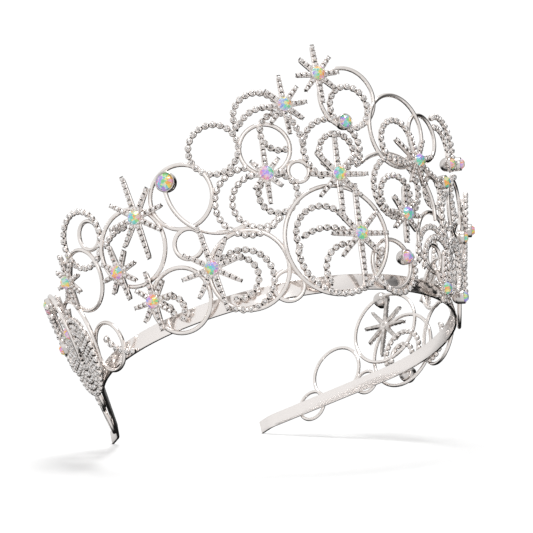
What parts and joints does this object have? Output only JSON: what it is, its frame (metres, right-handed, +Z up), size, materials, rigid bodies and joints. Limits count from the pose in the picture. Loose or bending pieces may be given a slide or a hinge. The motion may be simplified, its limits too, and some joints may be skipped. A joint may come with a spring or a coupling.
{
  "type": "tiara",
  "caption": "Celestial tiara: a flat springy headband carrying a tall filigree wall of wire rings, stone-set moons, eight-ray stars and bezel-set stones.",
  "frame": {"origin": "under the middle of the crown's bounding box, at the level of its lowest rings", "axes": "+Z up out of the band's plane, the front of the crown faces -Y, +X to the right as seen from the front"},
  "size_m": [0.1627, 0.1708, 0.0812],
  "materials": {
    "band_metal": "polished rhodium-coloured plate",
    "wire_metal": "polished rhodium-coloured plate",
    "setting_metal": "polished plate, cut into seats for small stones",
    "clear_stone": "faceted, clear over a foil back",
    "star_metal": "polished cast metal set with tiny clear stones",
    "cup_metal": "polished",
    "iridescent_stone": "faceted, with an iridescent coat"
  },
  "bodies": {
    "root": {"headband": "band_metal", "wire_ring_least": "wire_metal", "wire_rings_tiny": "wire_metal", "wire_rings_small": "wire_metal", "wire_rings_medium": "wire_metal", "wire_rings_large": "wire_metal", "wire_ring_great": "wire_metal", "wire_rings_arm_small": "wire_metal", "wire_rings_arm_medium": "wire_metal", "wire_rings_arm_large": "wire_metal", "wire_arc_left": "wire_metal", "wire_arc_right": "wire_metal", "moon_left_side": "setting_metal", "moon_left_inner": "setting_metal", "moon_left_front": "setting_metal", "moon_crescent_tall": "setting_metal", "moon_small_ring": "setting_metal", "moon_star_arcs": "setting_metal", "moon_star_chain": "setting_metal", "moon_crescent_low": "setting_metal", "moon_left_low": "setting_metal", "moon_left_corner": "setting_metal", "moon_top_ring": "setting_metal", "moon_centre_outer": "setting_metal", "moon_centre_inner": "setting_metal", "moon_great_crescents": "setting_metal", "moon_right_top_ring": "setting_metal", "moon_right_crescent": "setting_metal", "moon_right_low": "setting_metal", "moon_right_horn": "setting_metal", "moon_right_middle": "setting_metal", "moon_right_cluster": "setting_metal", "moon_right_turn": "setting_metal", "moon_right_side": "setting_metal", "moon_right_arm": "setting_metal", "moon_left_arm_low": "setting_metal", "moon_left_arm_disc": "setting_metal", "moon_left_arm_high": "setting_metal", "pebbles_left": "clear_stone", "pebbles_left_inner": "clear_stone", "pebbles_centre": "clear_stone", "pebbles_centre_inner": "clear_stone", "pebbles_right": "clear_stone", "pebbles_right_inner": "clear_stone", "pebbles_right_cluster": "clear_stone", "pebbles_arms": "clear_stone", "pebbles_arm_disc": "clear_stone", "pebbles_arms_high": "clear_stone", "stars_large": "star_metal", "star_tall": "star_metal", "star_slender": "star_metal", "star_turned": "star_metal", "star_base": "star_metal", "stars_small": "star_metal", "star_stones": "iridescent_stone", "bezel_cups_large": "cup_metal", "bezel_cups_small": "cup_metal", "bezel_stones_large": "iridescent_stone", "bezel_stones_small": "iridescent_stone"}
  },
  "joints": []
}
